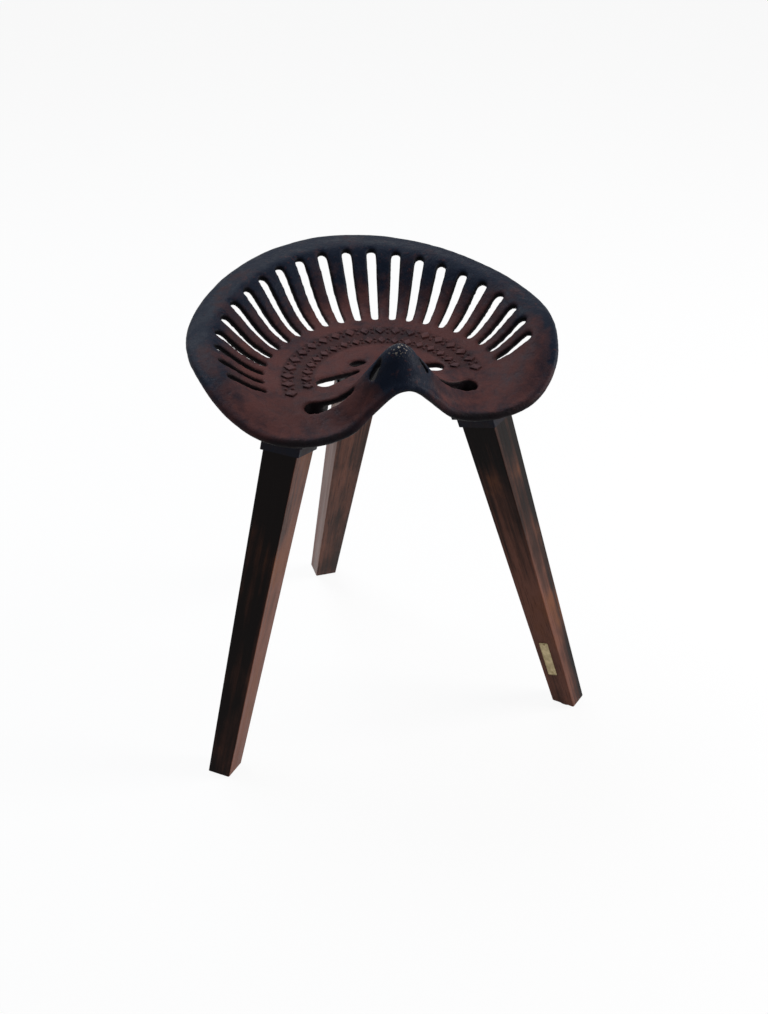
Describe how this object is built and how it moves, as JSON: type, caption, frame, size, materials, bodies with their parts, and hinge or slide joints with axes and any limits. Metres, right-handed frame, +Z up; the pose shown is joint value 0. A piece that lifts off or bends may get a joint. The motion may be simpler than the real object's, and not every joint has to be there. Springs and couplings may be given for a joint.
{
  "type": "stool",
  "caption": "Three-legged stool with a pierced, dished cast-iron tractor seat with a front pommel, on splayed, tapered square wooden legs held in cast shoes.",
  "frame": {"origin": "On the floor, in the middle of the rectangle that holds the three feet.", "axes": "+Z up; -Y towards the front, where the pommel stands; +X towards the leg that carries the small plate, on the right as seen from the front."},
  "size_m": [0.4896, 0.4082, 0.5355],
  "materials": {
    "seat_iron": "old dark iron with rust-brown patina",
    "shoe_iron": "blackened, satin",
    "leg_wood": "dark walnut stain, satin varnish",
    "steel": "zinc plated, dull",
    "glide": "matt",
    "brass": "aged, satin"
  },
  "bodies": {
    "root": {"seat_casting": "seat_iron", "leg_shoe_front_left": "shoe_iron", "leg_front_left": "leg_wood", "shoe_bolts_front_left": "steel", "shoe_washers_front_left": "steel", "leg_screw_front_left": "steel", "foot_glide_front_left": "glide", "glide_nail_front_left": "steel", "leg_shoe_front_right": "shoe_iron", "leg_front_right": "leg_wood", "shoe_bolts_front_right": "steel", "shoe_washers_front_right": "steel", "leg_screw_front_right": "steel", "foot_glide_front_right": "glide", "glide_nail_front_right": "steel", "leg_shoe_rear": "shoe_iron", "leg_rear": "leg_wood", "shoe_bolts_rear": "steel", "shoe_washers_rear": "steel", "leg_screw_rear": "steel", "foot_glide_rear": "glide", "glide_nail_rear": "steel", "brass_plate": "brass", "plate_pins": "brass"}
  },
  "joints": []
}
